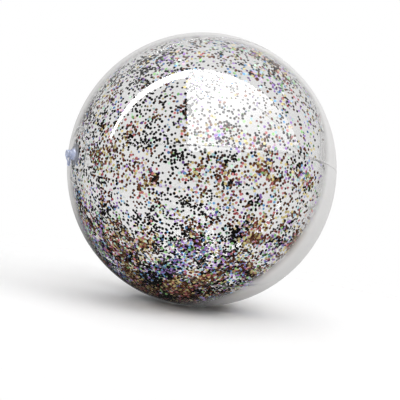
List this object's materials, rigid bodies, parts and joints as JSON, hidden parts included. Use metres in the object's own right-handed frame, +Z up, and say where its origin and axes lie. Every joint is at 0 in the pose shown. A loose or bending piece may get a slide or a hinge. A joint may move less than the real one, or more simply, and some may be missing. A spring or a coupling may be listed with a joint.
{
  "type": "inflatable beach ball",
  "caption": "Clear inflatable film ball of welded panels with two round end discs, loose round confetti inside, and a push-in valve with a tethered plug.",
  "frame": {"origin": "centre of the flat patch on the bottom that the ball rests on", "axes": "+Z up; the panels meet at poles on the X axis through the ball's centre, with the valve at the -X pole; -Y is the front"},
  "size_m": [0.4047, 0.3998, 0.3989],
  "materials": {
    "film": "clear glossy vinyl film",
    "valve_vinyl": "translucent pale blue soft vinyl, satin",
    "confetti_foil": "loose metallised foil flakes, mostly black, some coloured"
  },
  "bodies": {
    "ball": {"gore_1": "film", "gore_2": "film", "gore_3": "film", "gore_4": "film", "gore_5": "film", "gore_6": "film", "end_disc_valve": "film", "end_disc_far": "film", "valve_flange": "valve_vinyl", "valve_neck": "valve_vinyl", "confetti_heap": "confetti_foil"},
    "valve": {"valve_stem": "valve_vinyl", "plug_strap": "valve_vinyl"},
    "plug": {"valve_plug": "valve_vinyl"},
    "flap": {"check_flap": "valve_vinyl"}
  },
  "joints": [
    {"name": "valve_push_in", "type": "slide", "parent": "ball", "child": "valve", "axis": [1, 0, 0], "range_m": [0, 0.008], "deforming": ["valve_neck"]},
    {"name": "plug_swing", "type": "hinge", "parent": "valve", "child": "plug", "pos_m": [-0.2031, 0, 0.19], "axis": [0, -1, 0], "range_deg": [0, 110], "deforming": ["plug_strap"]},
    {"name": "flap_swing", "type": "hinge", "parent": "valve", "child": "flap", "pos_m": [-0.19095, 0, 0.2039], "axis": [0, -1, 0], "range_deg": [0, 70], "stiffness_Nm_per_rad": 0.00002}
  ]
}
